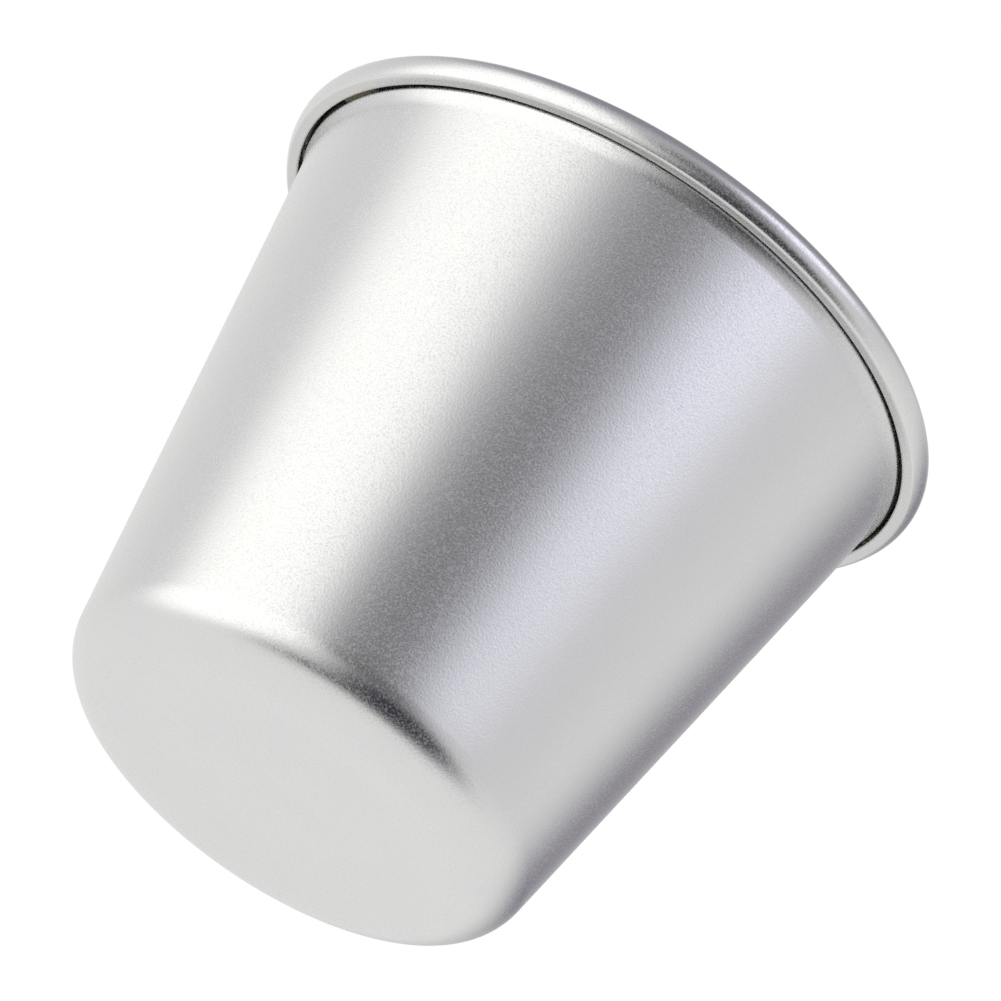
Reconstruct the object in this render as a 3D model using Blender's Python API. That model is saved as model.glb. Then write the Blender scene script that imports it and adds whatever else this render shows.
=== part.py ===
"""Custard pudding mould: a tapered cup drawn from one aluminium sheet, its rim rolled outwards over a wire.

The cup stands on its base with +Z up. The origin is the middle of the resting face, and the axis of
the cup is the Z axis. Lengths are written in millimetres and turned into metres when a mesh is made.
"""
import math

import bmesh
import bpy
from mathutils import Matrix, Vector

MM = 0.001

# Driving dimensions of the drawn cup
RIM_DIAMETER = 72.0
HEIGHT = 63.6
# The base is measured where the line of the wall would meet the resting face
BASE_DIAMETER = 48.8
BASE_CORNER_RADIUS = 5.4
SHEET_THICKNESS = 0.7

# The middle of the base is pressed in, which leaves a narrow flat ring to stand on
RESTING_RING_WIDTH = 1.5
PANEL_SLOPE_WIDTH = 1.4
PANEL_RISE = 0.5

# The rim is rolled outwards and down round a wire, and its cut edge stops short of the wall
WIRE_DIAMETER = 1.1
WIRE_CLEARANCE = 0.3
SEAM_GAP = 0.4
WIRE_BUTT_GAP = 0.5
WIRE_BUTT_ANGLE = math.radians(201.0)

# Fineness of the round shapes
SEGMENTS_ROUND_AXIS = 72
CORNER_STEPS = 6
ROLL_STEPS = 16
WIRE_SIDES = 8
SMOOTH_BELOW = math.radians(40.0)

# Finish of each material: colour, roughness and metallic value
ALUMINIUM_FINISH = ((0.78, 0.78, 0.79, 1.0), 0.38, 1.0)
WIRE_FINISH = ((0.36, 0.31, 0.25, 1.0), 0.55, 1.0)

# Sizes that follow from the ones above
RIM_RADIUS = RIM_DIAMETER / 2
BASE_RADIUS = BASE_DIAMETER / 2
HOLLOW_RADIUS = WIRE_DIAMETER / 2 + WIRE_CLEARANCE
ROLL_RADIUS = HOLLOW_RADIUS + SHEET_THICKNESS
ROLL_CENTRE = Vector((RIM_RADIUS - ROLL_RADIUS, HEIGHT - ROLL_RADIUS))


def unit(angle):
    """Unit vector in the plane of radius and height."""
    return Vector((math.cos(angle), math.sin(angle)))


def arc(centre, radius, start, end, steps):
    """Points along an arc, both ends included."""
    return [centre + radius * unit(start + (end - start) * i / steps) for i in range(steps + 1)]


def wall_taper():
    """Angle between the wall and the axis: the wall runs from the base and touches the hollow of the roll."""
    foot = Vector((BASE_RADIUS, 0.0))
    to_roll = ROLL_CENTRE - foot
    return math.atan2(to_roll.x, to_roll.y) - math.asin(HOLLOW_RADIUS / to_roll.length)


def lip_angle(taper):
    """Direction, seen from the middle of the roll, in which the roll ends with the seam left open."""
    return -taper - math.acos((SEAM_GAP - HOLLOW_RADIUS) / ROLL_RADIUS)


def sheet_side(depth):
    """One side of the sheet from the edge of the base panel to the lip; depth 0 is the outside of the wall."""
    taper = wall_taper()
    corner_setback = BASE_CORNER_RADIUS / math.tan((math.pi / 2 + taper) / 2)
    corner_centre = Vector((BASE_RADIUS - corner_setback, BASE_CORNER_RADIUS))
    ring_inner_radius = corner_centre.x - RESTING_RING_WIDTH
    panel_radius = ring_inner_radius - PANEL_SLOPE_WIDTH
    slope = math.atan2(PANEL_RISE, PANEL_SLOPE_WIDTH)
    mitre = depth * math.tan(slope / 2)

    panel_edge = Vector((panel_radius + mitre, PANEL_RISE + depth))
    ring_edge = Vector((ring_inner_radius + mitre, depth))
    corner = arc(corner_centre, BASE_CORNER_RADIUS - depth, -math.pi / 2, -taper, CORNER_STEPS)
    roll = arc(ROLL_CENTRE, HOLLOW_RADIUS + depth, math.pi - taper, lip_angle(taper), ROLL_STEPS)
    return [panel_edge, ring_edge] + corner + roll


def principled(name, finish):
    """Material with one Principled shader."""
    colour, roughness, metallic = finish
    material = bpy.data.materials.new(name)
    material.use_nodes = True
    shader = material.node_tree.nodes["Principled BSDF"]
    shader.inputs["Base Color"].default_value = colour
    shader.inputs["Roughness"].default_value = roughness
    shader.inputs["Metallic"].default_value = metallic
    return material


def add_object(name, bm, finish, parent):
    """Turns a finished bmesh into a smooth-shaded object under the parent."""
    bmesh.ops.recalc_face_normals(bm, faces=bm.faces)
    mesh = bpy.data.meshes.new(name)
    bm.to_mesh(mesh)
    bm.free()
    mesh.shade_smooth()
    mesh.set_sharp_from_angle(angle=SMOOTH_BELOW)
    mesh.materials.append(principled(name, finish))
    obj = bpy.data.objects.new(name, mesh)
    obj.parent = parent
    bpy.context.scene.collection.objects.link(obj)
    return obj


def make_shell(parent):
    """The cup: the sheet's outline spun round the axis, and the base panel closed on both sides."""
    outline = sheet_side(0.0) + sheet_side(SHEET_THICKNESS)[::-1]
    bm = bmesh.new()
    verts = [bm.verts.new((p.x * MM, 0.0, p.y * MM)) for p in outline]
    edges = [bm.edges.new(pair) for pair in zip(verts, verts[1:])]
    bmesh.ops.spin(
        bm, geom=verts + edges, axis=(0, 0, 1), cent=(0, 0, 0),
        angle=2 * math.pi, steps=SEGMENTS_ROUND_AXIS, use_merge=True,
    )
    bmesh.ops.holes_fill(bm, edges=bm.edges, sides=0)
    return add_object("mould_shell", bm, ALUMINIUM_FINISH, parent)


def make_wire(parent):
    """The stiffening wire: a ring cut once, lying in the hollow of the rolled rim."""
    ring_radius = ROLL_CENTRE.x
    half_gap = WIRE_BUTT_GAP / ring_radius / 2
    upright = Matrix.Rotation(math.pi / 2, 4, "X")
    outwards = Matrix.Translation((ring_radius * MM, 0, 0))
    past_gap = Matrix.Rotation(half_gap, 4, "Z")
    bm = bmesh.new()
    bmesh.ops.create_circle(
        bm, segments=WIRE_SIDES, radius=WIRE_DIAMETER / 2 * MM, matrix=past_gap @ outwards @ upright,
    )
    bmesh.ops.spin(
        bm, geom=bm.verts[:] + bm.edges[:], axis=(0, 0, 1), cent=(0, 0, 0),
        angle=2 * math.pi - 2 * half_gap, steps=SEGMENTS_ROUND_AXIS,
    )
    bmesh.ops.holes_fill(bm, edges=bm.edges, sides=0)
    wire = add_object("rim_wire", bm, WIRE_FINISH, parent)
    wire.location = (0, 0, ROLL_CENTRE.y * MM)
    wire.rotation_euler = (0, 0, WIRE_BUTT_ANGLE)
    return wire


def main():
    for obj in list(bpy.data.objects):
        bpy.data.objects.remove(obj, do_unlink=True)
    mould = bpy.data.objects.new("pudding_mould", None)
    bpy.context.scene.collection.objects.link(mould)
    make_shell(mould)
    make_wire(mould)


main()
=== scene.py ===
"""Looks of the custard pudding mould: satin aluminium sheet, rolled rim with an open dark seam, wire inside.

Lengths in the frame are metres. Sizes of the sheet are written in millimetres, and read from the frame where
the frame has them. A point of the sheet's outline is a vector of radius and height. Angles round the mould
are measured from +X towards +Y, and the photograph looks from -Y, from below the level of the base.
"""
import math

import bmesh
import bpy
from mathutils import Matrix, Vector, noise


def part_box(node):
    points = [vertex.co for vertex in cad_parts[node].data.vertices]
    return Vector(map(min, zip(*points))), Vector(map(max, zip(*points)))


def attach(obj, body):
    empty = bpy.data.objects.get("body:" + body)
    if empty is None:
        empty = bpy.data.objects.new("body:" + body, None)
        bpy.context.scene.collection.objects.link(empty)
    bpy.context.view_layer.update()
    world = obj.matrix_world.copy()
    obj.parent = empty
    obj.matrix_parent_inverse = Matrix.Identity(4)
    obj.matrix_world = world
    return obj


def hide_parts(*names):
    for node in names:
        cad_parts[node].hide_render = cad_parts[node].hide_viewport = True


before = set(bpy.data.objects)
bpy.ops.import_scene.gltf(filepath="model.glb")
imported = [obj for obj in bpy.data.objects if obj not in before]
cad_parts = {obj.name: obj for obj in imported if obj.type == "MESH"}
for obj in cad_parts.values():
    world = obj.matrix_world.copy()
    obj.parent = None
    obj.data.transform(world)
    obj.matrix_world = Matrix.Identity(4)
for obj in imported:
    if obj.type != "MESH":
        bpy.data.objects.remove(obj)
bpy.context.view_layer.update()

MM = 0.001

# Sizes read from the frame
SHELL_LOW, SHELL_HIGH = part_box("mould_shell")
WIRE_LOW, WIRE_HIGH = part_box("rim_wire")
RIM_RADIUS = (SHELL_HIGH.x - SHELL_LOW.x) / 2 / MM
HEIGHT = SHELL_HIGH.z / MM
WIRE_RADIUS = (WIRE_HIGH.z - WIRE_LOW.z) / 2 / MM
ROLL_CENTRE = Vector((WIRE_HIGH.x / MM - WIRE_RADIUS, (WIRE_HIGH.z + WIRE_LOW.z) / 2 / MM))
ROLL_RADIUS = min(RIM_RADIUS - ROLL_CENTRE.x, HEIGHT - ROLL_CENTRE.y)

# Sizes of the drawn sheet and of the wire's cut, as in the CAD
SHEET_THICKNESS = 0.7
BASE_RADIUS = 24.4
BASE_CORNER_RADIUS = 5.4
RESTING_RING_WIDTH = 1.5
PANEL_RISE = 0.5
WIRE_BUTT_GAP = 0.5
WIRE_BUTT_ANGLE = math.radians(201.0)
HOLLOW_RADIUS = ROLL_RADIUS - SHEET_THICKNESS

# The base panel rises over a wider slope than in the CAD, and its edges are soft
PANEL_SLOPE_WIDTH = 4.2
PANEL_EDGE_RADIUS = 12.0

# The rim's fine shape, which the CAD has as a plain round roll. The wall flares out a little up to the seam,
# and the sheet thins as it is rolled. The roll is round on top, has a flatter face outside, then a tight fold
# and a nearly level flange that ends in the lip. The rim is a little narrower and lower than the CAD's.
ROLLED_SHEET = 0.6
FLARE_START = 58.9
FLARE_END = 60.45
FLARE = 0.3
FACE_START = math.radians(0.0)
FACE_END = math.radians(-38.0)
FACE_RADIUS = 2.4
FOLD_RADIUS = 0.05
FLANGE_ANGLE = math.radians(-85.0)
LIP_RADIUS = 34.1
LIP_NOSE = 0.25
RIM_INSET = 0.04

# Where the sheet faces the wire, behind the seam and in the roll, it is dark from this height up: oxide and
# residue, and painted shade in the recess
OXIDE_AND_SHADE_ABOVE = 60.75

# The seam lies a little further out on one side of the mould and further in on the other
SEAM_SWING = 0.12
SEAM_SWING_START = 50.0
SEAM_SWING_END = 62.0
SEAM_OUT_AT = math.radians(212.0)

# The wall is very slightly uneven: the depth of the noise, the radius of the circle it is read along, and
# the height that one unit of it covers
WALL_SWING = 0.012
WALL_NOISE_RADIUS = 1.7
WALL_NOISE_HEIGHT = 26.0

# A crust of residue fills the seam for a short way. Its face is hollow, and its ends are thin and sunk in
RESIDUE_MIDDLE = math.radians(199.8)
RESIDUE_HALF_ARC = math.radians(5.0)
RESIDUE_INSET = 0.04
RESIDUE_END_SINK = 0.35
RESIDUE_HOLLOW = 0.1
RESIDUE_THICKNESS = 0.3
RESIDUE_END_THICKNESS = 0.1

# Fineness of the meshes
ROUND_STEPS = 288
WALL_ROWS = 24
FLARE_ROWS = 16
HIDDEN_ROWS = 8
CORNER_STEPS = 18
ROLL_STEPS = 32
FACE_STEPS = 12
FOLD_STEPS = 10
FLANGE_STEPS = 4
NOSE_STEPS = 10
EDGE_STEPS = 8
WIRE_SIDES = 16
RESIDUE_STEPS = 40
RESIDUE_ROWS = 6
SMOOTH_BELOW = math.radians(40.0)
CRUST_SMOOTH_BELOW = math.radians(60.0)

# Places in the sheet's list of materials; what is neither flange nor hollow has the first one
FLANGE_SLOT = 1
HOLLOW_SLOT = 2

# Satin metal: how light the sheet is, how light its flange is (darker, as painted shade along the seam), how
# much the mottling changes that, and the roughness between and in the specks
SHEET_LIGHT = 0.75
FLANGE_PAINTED_SHADE_LIGHT = 0.65
MOTTLE_TINT = 0.005
LEAST_ROUGHNESS = 0.26
SPECK_ROUGHNESS = 0.42

# Fineness of each material's noise, in waves per metre, and the depth of its bump in metres
GRAIN_SCALE = 4200.0
SPECK_SCALE = 5200.0
MOTTLE_SCALE = 160.0
STAIN_SCALE = 700.0
RUST_SCALE = 900.0
CRUST_SCALE = 1500.0
GRAIN_DEPTH = 0.000008
STAIN_DEPTH = 0.00003
RUST_DEPTH = 0.00005
CRUST_DEPTH = 0.00004

# Floor, in metres: how far it reaches, where it fades into the background, its grey and its own glow
FLOOR_RADIUS = 0.5
FLOOR_SIDES = 96
FADE_START = 0.14
FADE_END = 0.42
FLOOR_GREY = 0.62
FLOOR_GLOW = 0.5

# The studio: a pale surround with soft patches of light and shade, each laid over the ones before it.
# Each patch has its middle as degrees round from the camera's side and degrees above the horizon,
# its half width and half height in degrees, how soft its edge is, and its colour.
SURROUND = (0.91, 0.91, 0.90)
PATCHES = {
    "overhead_shade": (-14.5, 88.0, 92.5, 90.0, 0.9, (0.31, 0.30, 0.35)),
    "zenith_shade": (0.0, 90.0, 400.0, 42.0, 0.4, (0.31, 0.30, 0.34)),
    "cool_light": (37.5, 23.8, 25.5, 10.9, 0.3, (1.46, 1.48, 1.71)),
    "dark_strip": (3.5, -1.6, 25.0, 16.0, 0.4, (0.114, 0.114, 0.114)),
    "dark_edge": (-6.5, -52.0, 50.0, 8.0, 0.5, (0.0, 0.0, 0.0)),
    "dark_below": (26.2, -34.0, 39.5, 21.0, 0.35, (0.01, 0.005, 0.02)),
    "far_card": (144.0, 14.0, 22.0, 21.0, 0.9, (0.22, 0.205, 0.25)),
    "softbox": (-63.2, -7.1, 40.0, 31.7, 0.21, (1.44, 1.44, 1.40)),
}

# Camera: its lens, where it stands round the mould, how it is rolled, and where it points
SENSOR_WIDTH = 36.0
FRAME_PIXELS = 1001
FOCAL_PIXELS = 8000.0
CLIP_START = 0.01
CLIP_END = 20.0
CAMERA_ELEVATION = math.radians(-26.47)
CAMERA_ROLL = math.radians(34.53)
CAMERA_DISTANCE = 0.7693
CAMERA_YAW = math.radians(-0.4924)
CAMERA_PITCH = math.radians(0.5031)
TARGET_HEIGHT = 0.0288


def unit(angle):
    """Unit vector in the plane of radius and height."""
    return Vector((math.cos(angle), math.sin(angle)))


def arc(centre, radius, start, end, steps):
    """Points along an arc, both ends included."""
    return [centre + radius * unit(start + (end - start) * i / steps) for i in range(steps + 1)]


def rounded(before, corner, after, radius):
    """The corner of a line eased by an arc that touches both sides."""
    to_before = (before - corner).normalized()
    to_after = (after - corner).normalized()
    half = to_before.angle(to_after) / 2
    reach = radius / math.tan(half)
    centre = corner + (to_before + to_after).normalized() * (radius / math.sin(half))
    first = corner + to_before * reach - centre
    last = corner + to_after * reach - centre
    start = math.atan2(first.y, first.x)
    turn = math.atan2(last.y, last.x) - start
    turn = (turn + math.pi) % (2 * math.pi) - math.pi
    return arc(centre, radius, start, start + turn, EDGE_STEPS)


def share_between(value, start, end):
    """How far a value has come from start to end, as a share that stops at 0 and at 1."""
    return max(0.0, min(1.0, (value - start) / (end - start)))


def eased(share):
    """A share from 0 to 1 that leaves and arrives gently."""
    return share * share * (3 - 2 * share)


def wall_taper():
    """Angle between the wall and the axis: the wall touches the hollow of the CAD's roll."""
    to_roll = ROLL_CENTRE - Vector((BASE_RADIUS, 0.0))
    return math.atan2(to_roll.x, to_roll.y) - math.asin(HOLLOW_RADIUS / to_roll.length)


TAPER = wall_taper()


def roll_top_radius():
    """Outer radius of the roll's round top, which touches the wall's line, the rim's outline and its top."""
    outline = RIM_RADIUS - RIM_INSET - FLARE
    top = HEIGHT - RIM_INSET
    room = (outline - BASE_RADIUS - top * math.tan(TAPER)) * math.cos(TAPER) + ROLLED_SHEET
    return room / (1 + math.cos(TAPER) - math.sin(TAPER))


ROLL_TOP_RADIUS = roll_top_radius()
ROLL_TOP_CENTRE = Vector((RIM_RADIUS - FLARE, HEIGHT)) - Vector((1.0, 1.0)) * (RIM_INSET + ROLL_TOP_RADIUS)
TO_LIP = unit(FLANGE_ANGLE - math.pi / 2)


def flare(height):
    """Share of the flare that the sheet has made at this height: it steepens up to the seam."""
    return share_between(height, FLARE_START, FLARE_END) ** 2


def rim_side(depth):
    """One side of the rolled rim, from the wall to just before the lip's nose; depth 0 faces the wire."""
    hollow = ROLL_TOP_RADIUS - ROLLED_SHEET
    face_hollow = FACE_RADIUS - ROLLED_SHEET
    face_centre = ROLL_TOP_CENTRE + (hollow - face_hollow) * unit(FACE_START)
    fold_centre = face_centre + (face_hollow - FOLD_RADIUS) * unit(FACE_END)
    roll = arc(ROLL_TOP_CENTRE, hollow + depth, math.pi - TAPER, FACE_START, ROLL_STEPS)
    face = arc(face_centre, face_hollow + depth, FACE_START, FACE_END, FACE_STEPS)
    fold = arc(fold_centre, FOLD_RADIUS + depth, FACE_END, FLANGE_ANGLE, FOLD_STEPS)
    flange_start = fold_centre + (FOLD_RADIUS + ROLLED_SHEET / 2) * unit(FLANGE_ANGLE)
    flange_length = (LIP_RADIUS - FLARE + LIP_NOSE - flange_start.x) / TO_LIP.x
    flange = [fold[-1] + TO_LIP * flange_length * i / FLANGE_STEPS for i in range(1, FLANGE_STEPS + 1)]
    return roll + face[1:] + fold[1:] + flange


def base_side(depth):
    """One side of the base, from its middle to the end of the corner; depth 0 is the underside."""
    setback = BASE_CORNER_RADIUS / math.tan((math.pi / 2 + TAPER) / 2)
    corner_centre = Vector((BASE_RADIUS - setback, BASE_CORNER_RADIUS))
    ring_inner = corner_centre.x - RESTING_RING_WIDTH
    slope = math.atan2(PANEL_RISE, PANEL_SLOPE_WIDTH)
    mitre = depth * math.tan(slope / 2)
    middle = Vector((0.0, PANEL_RISE + depth))
    panel_edge = Vector((ring_inner - PANEL_SLOPE_WIDTH + mitre, PANEL_RISE + depth))
    ring_edge = Vector((ring_inner + mitre, depth))
    ring_outer = Vector((corner_centre.x, depth))
    panel = [middle, middle.lerp(panel_edge, 0.5)]
    inner_edge = rounded(middle, panel_edge, ring_edge, PANEL_EDGE_RADIUS)
    outer_edge = rounded(panel_edge, ring_edge, ring_outer, PANEL_EDGE_RADIUS)
    corner = arc(corner_centre, BASE_CORNER_RADIUS - depth, -math.pi / 2, -TAPER, CORNER_STEPS)
    return panel + inner_edge + outer_edge + corner


def wall_side(foot, top):
    """Points of the wall between its foot and the roll, closer together in the flare and behind the seam."""
    neck = foot.lerp(top, share_between(FLARE_START, foot.y, top.y))
    seam = foot.lerp(top, share_between(FLARE_END, foot.y, top.y))
    wall = [foot.lerp(neck, row / WALL_ROWS) for row in range(1, WALL_ROWS)]
    wall += [neck.lerp(seam, row / FLARE_ROWS) for row in range(FLARE_ROWS)]
    wall += [seam.lerp(top, row / HIDDEN_ROWS) for row in range(HIDDEN_ROWS)]
    return wall


def sheet_side(share):
    """One side of the sheet from the middle of the base to the lip's nose.

    Share 0 is the outside of the wall, which faces the wire in the roll, and share 1 is the cup's inside.
    """
    base = base_side(SHEET_THICKNESS * share)
    rim = rim_side(ROLLED_SHEET * share)
    points = base + wall_side(base[-1], rim[0]) + rim
    return [Vector((p.x + FLARE * flare(p.y), p.y)) for p in points]


def lip_nose(start, end):
    """The cut edge of the sheet, worn round, from its side in the roll to its visible side."""
    middle = (start + end) / 2
    turns = [math.pi * i / NOSE_STEPS for i in range(1, NOSE_STEPS)]
    return [middle + (start - middle) * math.cos(t) + TO_LIP * LIP_NOSE * math.sin(t) for t in turns]


def out_of_round(phi, height):
    """Slight unevenness of the sheet, in the wall and at the height of the seam, but not at base and top."""
    around = WALL_NOISE_RADIUS * unit(phi)
    place = Vector((around.x, around.y, height / WALL_NOISE_HEIGHT))
    wall = WALL_SWING * noise.noise(place) * math.sin(math.pi * share_between(height, 0.0, HEIGHT)) ** 2
    up_to_seam = share_between(height, SEAM_SWING_START, FLARE_END) ** 2
    past_seam = eased(share_between(height, FLARE_END, SEAM_SWING_END))
    return wall + SEAM_SWING * math.cos(phi - SEAM_OUT_AT) * up_to_seam * (1 - past_seam)


def in_frame(phi, point):
    """Place in the frame of a point of the outline, at this angle round the mould."""
    return (point.x * MM * math.cos(phi), point.x * MM * math.sin(phi), point.y * MM)


def finished(name, bm, material, smooth_below=SMOOTH_BELOW):
    """Turns a bmesh into a smooth-shaded object in the scene."""
    bmesh.ops.recalc_face_normals(bm, faces=bm.faces)
    mesh = bpy.data.meshes.new(name)
    bm.to_mesh(mesh)
    bm.free()
    mesh.shade_smooth()
    mesh.set_sharp_from_angle(angle=smooth_below)
    mesh.materials.append(material)
    obj = bpy.data.objects.new(name, mesh)
    bpy.context.scene.collection.objects.link(obj)
    return obj


def make_sheet(materials):
    """The cup, one closed sheet from the base to the lip of the rolled rim.

    The materials are for the whole sheet, for the flange with its lip, darker as painted shade, and for the
    side that faces the wire, dark with oxide and residue and with painted shade in the recess.
    """
    outside = sheet_side(0.0)
    inside = sheet_side(1.0)
    nose = lip_nose(outside[-1], inside[-1])
    outline = outside + nose + inside[::-1]
    first_hollow = next(i for i, p in enumerate(outside) if p.y > OXIDE_AND_SHADE_ABOVE)
    first_flange = len(outside) - 1
    after_flange = first_flange + len(nose) + 1 + FLANGE_STEPS + FOLD_STEPS // 2
    bm = bmesh.new()
    low = bm.verts.new((0, 0, outline[0].y * MM))
    high = bm.verts.new((0, 0, outline[-1].y * MM))
    rings = []
    for step in range(ROUND_STEPS):
        phi = 2 * math.pi * step / ROUND_STEPS
        swung = [Vector((p.x + out_of_round(phi, p.y), p.y)) for p in outline[1:-1]]
        rings.append([low] + [bm.verts.new(in_frame(phi, p)) for p in swung] + [high])
    for ring, following in zip(rings, rings[1:] + rings[:1]):
        for i, (a, b, c, d) in enumerate(zip(ring, ring[1:], following[1:], following)):
            corners = [a, b, c, d]
            if a is d:
                corners = [a, b, c]
            if b is c:
                corners = [a, b, d]
            face = bm.faces.new(corners)
            # Behind the seam and in the roll the sheet is dark with oxide and with painted shade
            if first_hollow <= i < first_flange:
                face.material_index = HOLLOW_SLOT
            # The flange takes a darker copy of the sheet's material: painted shade along the seam
            elif first_flange <= i < after_flange:
                face.material_index = FLANGE_SLOT
    sheet = finished("mould_sheet", bm, materials[0])
    for material in materials[1:]:
        sheet.data.materials.append(material)
    return sheet


def make_wire(material):
    """The wire ring in the roll, with its two cut ends facing each other."""
    half_gap = WIRE_BUTT_GAP / ROLL_CENTRE.x / 2
    upright = Matrix.Rotation(math.pi / 2, 4, "X")
    outwards = Matrix.Translation((ROLL_CENTRE.x * MM, 0, ROLL_CENTRE.y * MM))
    start = Matrix.Rotation(WIRE_BUTT_ANGLE + half_gap, 4, "Z")
    bm = bmesh.new()
    bmesh.ops.create_circle(
        bm, segments=WIRE_SIDES, radius=WIRE_RADIUS * MM, matrix=start @ outwards @ upright,
    )
    bmesh.ops.spin(
        bm, geom=bm.verts[:] + bm.edges[:], axis=(0, 0, 1), cent=(0, 0, 0),
        angle=2 * math.pi - 2 * half_gap, steps=ROUND_STEPS,
    )
    bmesh.ops.holes_fill(bm, edges=bm.edges, sides=0)
    return finished("rim_wire_ring", bm, material)


def make_residue(material):
    """Dried brown residue that fills the seam for a short way, about where the wire's ends meet."""
    tip = (sheet_side(0.0)[-1] + sheet_side(1.0)[-1]) / 2 + TO_LIP * LIP_NOSE
    foot = Vector((BASE_RADIUS + tip.y * math.tan(TAPER) + FLARE * flare(tip.y), tip.y))
    shares = [j / RESIDUE_ROWS for j in range(RESIDUE_ROWS + 1)]
    bm = bmesh.new()
    sections = []
    for i in range(RESIDUE_STEPS + 1):
        along = -1 + 2 * i / RESIDUE_STEPS
        phi = RESIDUE_MIDDLE + RESIDUE_HALF_ARC * along
        fade = math.sqrt(1 - along * along)
        sink = RESIDUE_INSET + RESIDUE_END_SINK * (1 - fade)
        back = sink + RESIDUE_END_THICKNESS + (RESIDUE_THICKNESS - RESIDUE_END_THICKNESS) * fade
        swing = Vector((out_of_round(phi, tip.y), 0.0))
        across = [tip.lerp(foot, share) + swing for share in shares]
        hollows = [RESIDUE_HOLLOW * fade * 4 * share * (1 - share) for share in shares]
        points = [p + Vector((0.0, sink + hollow)) for p, hollow in zip(across, hollows)]
        points += [p + Vector((0.0, back)) for p in across[::-1]]
        sections.append([bm.verts.new(in_frame(phi, p)) for p in points])
    for section, following in zip(sections, sections[1:]):
        for a, b, c, d in zip(section, section[1:] + section[:1], following[1:] + following[:1], following):
            bm.faces.new([a, b, c, d])
    bm.faces.new(sections[0])
    bm.faces.new(sections[-1][::-1])
    return finished("seam_residue", bm, material, CRUST_SMOOTH_BELOW)


class Nodes:
    """A node tree being written: adds nodes and links them by name."""

    def __init__(self, tree):
        self.tree = tree
        tree.nodes.clear()

    def add(self, kind, inputs=None, **settings):
        """New node of this kind with its settings, and its inputs by name or number."""
        node = self.tree.nodes.new(kind)
        for name, value in settings.items():
            setattr(node, name, value)
        for key, value in (inputs or {}).items():
            self.feed(node.inputs[key], value)
        return node

    def feed(self, socket, value):
        """Links an output to the socket, or writes a plain value into it."""
        if isinstance(value, bpy.types.NodeSocket):
            self.tree.links.new(value, socket)
        else:
            socket.default_value = value

    def math(self, operation, *values):
        """Result of one operation on outputs and numbers."""
        node = self.add("ShaderNodeMath", operation=operation)
        for socket, value in zip(node.inputs, values):
            self.feed(socket, value)
        return node.outputs[0]

    def noise(self, place, scale, detail, roughness=0.5):
        """Noise from 0 to 1 at this place."""
        inputs = {"Vector": place, "Scale": scale, "Detail": detail, "Roughness": roughness}
        return self.add("ShaderNodeTexNoise", inputs).outputs[0]

    def ramp(self, value, from_min, from_max, to_min, to_max, kind="SMOOTHSTEP"):
        """A value carried over from one range to another, and held at its ends."""
        node = self.add("ShaderNodeMapRange", interpolation_type=kind)
        for socket, number in zip(node.inputs, (value, from_min, from_max, to_min, to_max)):
            self.feed(socket, number)
        return node.outputs[0]

    def mix(self, share, a, b):
        """A blend of two colours: share 0 is the first, share 1 the second."""
        node = self.add("ShaderNodeMix", data_type="RGBA")
        self.feed(node.inputs["Factor"], share)
        self.feed(node.inputs["A"], a)
        self.feed(node.inputs["B"], b)
        return node.outputs["Result"]

    def surface(self, inputs, height, strength, depth):
        """One Principled shader with these inputs, bumped by the height, as the material's surface."""
        bump = self.add("ShaderNodeBump", {"Height": height, "Strength": strength, "Distance": depth})
        shader = self.add("ShaderNodeBsdfPrincipled", {**inputs, "Normal": bump.outputs[0]})
        self.add("ShaderNodeOutputMaterial", {"Surface": shader.outputs[0]})


def colour(red, green, blue):
    return (red, green, blue, 1.0)


def grey(light):
    return colour(light, light, light)


def new_material(name):
    """A new material, its node tree, and the object's own coordinates in that tree."""
    material = bpy.data.materials.new(name)
    material.use_nodes = True
    nodes = Nodes(material.node_tree)
    return material, nodes, nodes.add("ShaderNodeTexCoord").outputs["Object"]


def satin_aluminium(name, light):
    """Anodised aluminium: metallic and satin, with a fine even grain, faint mottling and rougher specks."""
    material, nodes, place = new_material(name)
    grain = nodes.noise(place, GRAIN_SCALE, 1.0)
    specks = nodes.noise(place, SPECK_SCALE, 1.0)
    mottle = nodes.noise(place, MOTTLE_SCALE, 3.0)
    share = nodes.ramp(mottle, 0.35, 0.65, 0.0, 1.0, "LINEAR")
    darker = colour(light - MOTTLE_TINT, light - MOTTLE_TINT, light)
    lighter = colour(light + MOTTLE_TINT, light + MOTTLE_TINT, light + 0.002)
    tint = nodes.mix(share, darker, lighter)
    rough = nodes.ramp(specks, 0.46, 0.72, LEAST_ROUGHNESS, SPECK_ROUGHNESS, "LINEAR")
    nodes.surface({"Base Color": tint, "Metallic": 1.0, "Roughness": rough}, grain, 1.0, GRAIN_DEPTH)
    return material


def oxide_and_painted_shade_aluminium():
    """The same sheet facing the wire: oxidised, with residue that washing doesn't reach, and dark as painted
    shade.
    """
    material, nodes, place = new_material("oxide_and_painted_shade_aluminium")
    stain = nodes.noise(place, STAIN_SCALE, 4.0)
    tint = nodes.mix(stain, colour(0.11, 0.10, 0.09), colour(0.17, 0.165, 0.16))
    nodes.surface({"Base Color": tint, "Metallic": 0.5, "Roughness": 0.6}, stain, 0.5, STAIN_DEPTH)
    return material


def browned_wire():
    """Drawn steel wire with thin brown rust, which is rougher than the bare metal."""
    material, nodes, place = new_material("browned_wire")
    rust = nodes.noise(place, RUST_SCALE, 5.0, 0.65)
    share = nodes.ramp(rust, 0.42, 0.62, 0.0, 1.0)
    tint = nodes.mix(share, colour(0.22, 0.20, 0.18), colour(0.11, 0.07, 0.035))
    metal = nodes.ramp(share, 0.0, 1.0, 1.0, 0.2, "LINEAR")
    rough = nodes.ramp(share, 0.0, 1.0, 0.45, 0.8, "LINEAR")
    nodes.surface({"Base Color": tint, "Metallic": metal, "Roughness": rough}, rust, 0.6, RUST_DEPTH)
    return material


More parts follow.
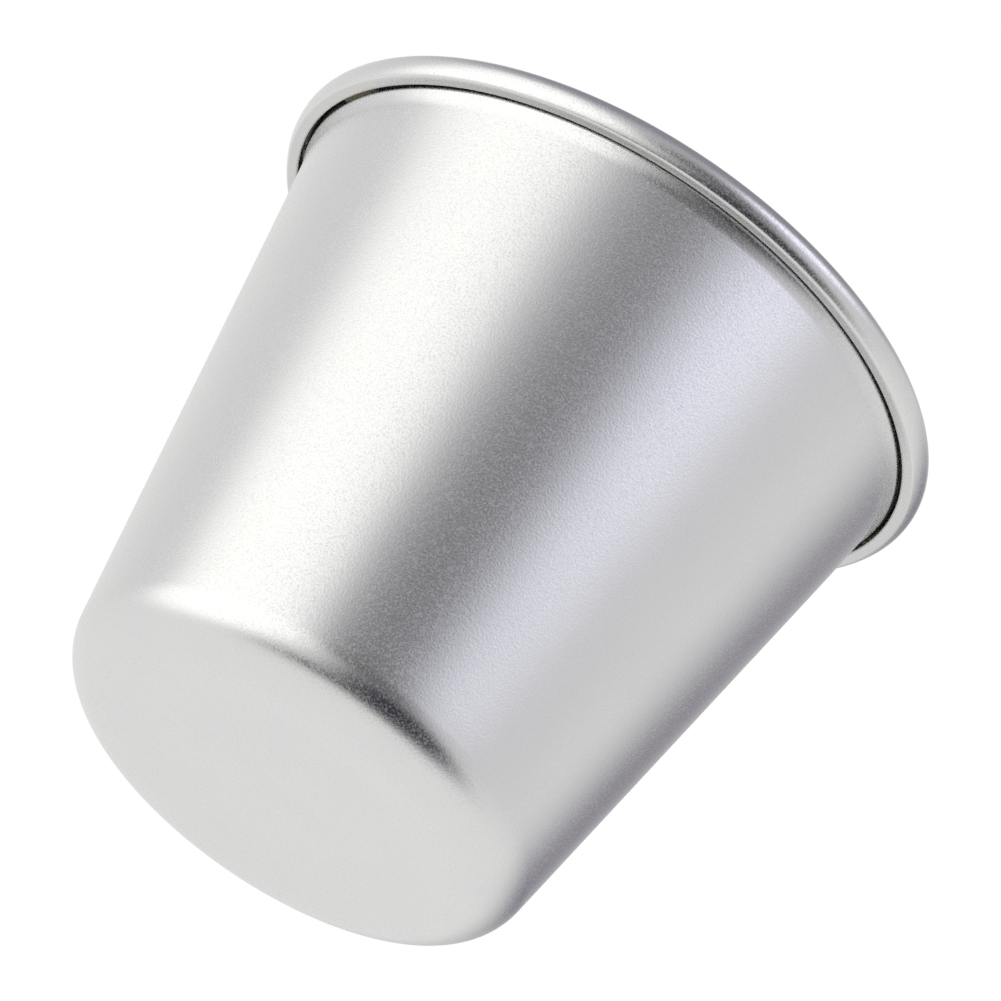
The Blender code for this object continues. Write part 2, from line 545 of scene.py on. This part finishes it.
def dried_residue():
    """Olive brown, slightly glossy crust."""
    material, nodes, place = new_material("dried_residue")
    crust = nodes.noise(place, CRUST_SCALE, 4.0, 0.6)
    tint = nodes.mix(crust, colour(0.085, 0.064, 0.022), colour(0.14, 0.108, 0.05))
    nodes.surface({"Base Color": tint, "Roughness": 0.5}, crust, 0.7, CRUST_DEPTH)
    return material


def pale_floor():
    """Pale floor for views from above. It fades into the white background, and isn't there from below."""
    material, nodes, place = new_material("pale_floor")
    reach = nodes.add("ShaderNodeVectorMath", {0: place}, operation="LENGTH").outputs["Value"]
    fade = nodes.ramp(reach, FADE_START, FADE_END, 0.0, 1.0)
    diffuse = nodes.add("ShaderNodeBsdfDiffuse", {"Color": grey(FLOOR_GREY)})
    glow = nodes.add("ShaderNodeEmission", {"Color": grey(1.0), "Strength": FLOOR_GLOW})
    white = nodes.add("ShaderNodeEmission", {"Color": grey(1.0), "Strength": 1.0})
    lit = nodes.add("ShaderNodeAddShader", {0: diffuse.outputs[0], 1: glow.outputs[0]})
    floor = nodes.add("ShaderNodeMixShader", {0: fade, 1: lit.outputs[0], 2: white.outputs[0]})
    clear = nodes.add("ShaderNodeBsdfTransparent")
    from_above = nodes.math("SUBTRACT", 1.0, nodes.add("ShaderNodeNewGeometry").outputs["Backfacing"])
    seen = nodes.math("MULTIPLY", from_above, nodes.add("ShaderNodeLightPath").outputs["Is Camera Ray"])
    surface = nodes.add("ShaderNodeMixShader", {0: seen, 1: clear.outputs[0], 2: floor.outputs[0]})
    nodes.add("ShaderNodeOutputMaterial", {"Surface": surface.outputs[0]})
    return material


def make_floor():
    """A round floor that the mould stands on."""
    bm = bmesh.new()
    bmesh.ops.create_circle(bm, cap_ends=True, segments=FLOOR_SIDES, radius=FLOOR_RADIUS)
    mesh = bpy.data.meshes.new("floor")
    bm.to_mesh(mesh)
    bm.free()
    mesh.materials.append(pale_floor())
    floor = bpy.data.objects.new("floor", mesh)
    bpy.context.scene.collection.objects.link(floor)


def studio_world():
    """Light from all round, by direction; the camera sees plain white behind the mould."""
    world = bpy.data.worlds.new("studio")
    bpy.context.scene.world = world
    world.use_nodes = True
    nodes = Nodes(world.node_tree)
    direction = nodes.add("ShaderNodeTexCoord").outputs["Generated"]
    x, y, z = nodes.add("ShaderNodeSeparateXYZ", {"Vector": direction}).outputs
    round_from_camera = nodes.math("DEGREES", nodes.math("ARCTAN2", x, nodes.math("MULTIPLY", y, -1.0)))
    above = nodes.math("DEGREES", nodes.math("ARCSINE", z))
    light = nodes.add("ShaderNodeRGB").outputs[0]
    light.default_value = colour(*SURROUND)
    for middle, height, half_width, half_height, softness, patch_colour in PATCHES.values():
        across = nodes.math("SUBTRACT", round_from_camera, middle)
        across = nodes.math("WRAP", across, 180.0, -180.0)
        across = nodes.math("DIVIDE", across, half_width)
        up = nodes.math("DIVIDE", nodes.math("SUBTRACT", above, height), half_height)
        squares = nodes.math("ADD", nodes.math("MULTIPLY", across, across), nodes.math("MULTIPLY", up, up))
        reach = nodes.math("SQRT", squares)
        share = nodes.ramp(reach, 1.0 - softness, 1.0 + softness, 1.0, 0.0)
        light = nodes.mix(share, light, colour(*patch_colour))
    lit = nodes.add("ShaderNodeBackground", {"Color": light, "Strength": 1.0})
    white = nodes.add("ShaderNodeBackground", {"Color": grey(1.0), "Strength": 1.0})
    camera_ray = nodes.add("ShaderNodeLightPath").outputs["Is Camera Ray"]
    surface = nodes.add("ShaderNodeMixShader", {0: camera_ray, 1: lit.outputs[0], 2: white.outputs[0]})
    nodes.add("ShaderNodeOutputWorld", {"Surface": surface.outputs[0]})


def make_camera():
    """The photograph's camera: below the level of the base, rolled, with a long lens."""
    aim = Vector((0, math.cos(CAMERA_ELEVATION), -math.sin(CAMERA_ELEVATION)))
    right = aim.cross(Vector((0, 0, 1))).normalized()
    up = right.cross(aim)
    rolled_right = math.cos(CAMERA_ROLL) * right + math.sin(CAMERA_ROLL) * up
    rolled_up = math.cos(CAMERA_ROLL) * up - math.sin(CAMERA_ROLL) * right
    yaw = Matrix.Rotation(CAMERA_YAW, 3, rolled_up)
    turned_right = yaw @ rolled_right
    pitch = Matrix.Rotation(CAMERA_PITCH, 3, turned_right)
    forward = pitch @ yaw @ aim
    upward = pitch @ rolled_up
    data = bpy.data.cameras.new("camera")
    data.sensor_width = SENSOR_WIDTH
    data.lens = FOCAL_PIXELS / FRAME_PIXELS * SENSOR_WIDTH
    data.clip_start = CLIP_START
    data.clip_end = CLIP_END
    camera = bpy.data.objects.new("camera", data)
    place = Vector((0, 0, TARGET_HEIGHT)) - aim * CAMERA_DISTANCE
    turn = Matrix((turned_right, upward, -forward)).transposed()
    camera.matrix_world = Matrix.Translation(place) @ turn.to_4x4()
    bpy.context.scene.collection.objects.link(camera)
    bpy.context.scene.camera = camera


bpy.context.scene.view_settings.view_transform = "Standard"
make_camera()
studio_world()
make_floor()

finishes = [
    satin_aluminium("satin_aluminium", SHEET_LIGHT),
    # The flange's copy is darker than the sheet: painted shade along the seam
    satin_aluminium("flange_painted_shade_aluminium", FLANGE_PAINTED_SHADE_LIGHT),
    # The side facing the wire is dark with oxide and residue, and with painted shade in the recess
    oxide_and_painted_shade_aluminium(),
]
sheet = make_sheet(finishes)
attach(sheet, "root")
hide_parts("mould_shell")

wire = make_wire(browned_wire())
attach(wire, "root")
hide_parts("rim_wire")

residue = make_residue(dried_residue())
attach(residue, "root")
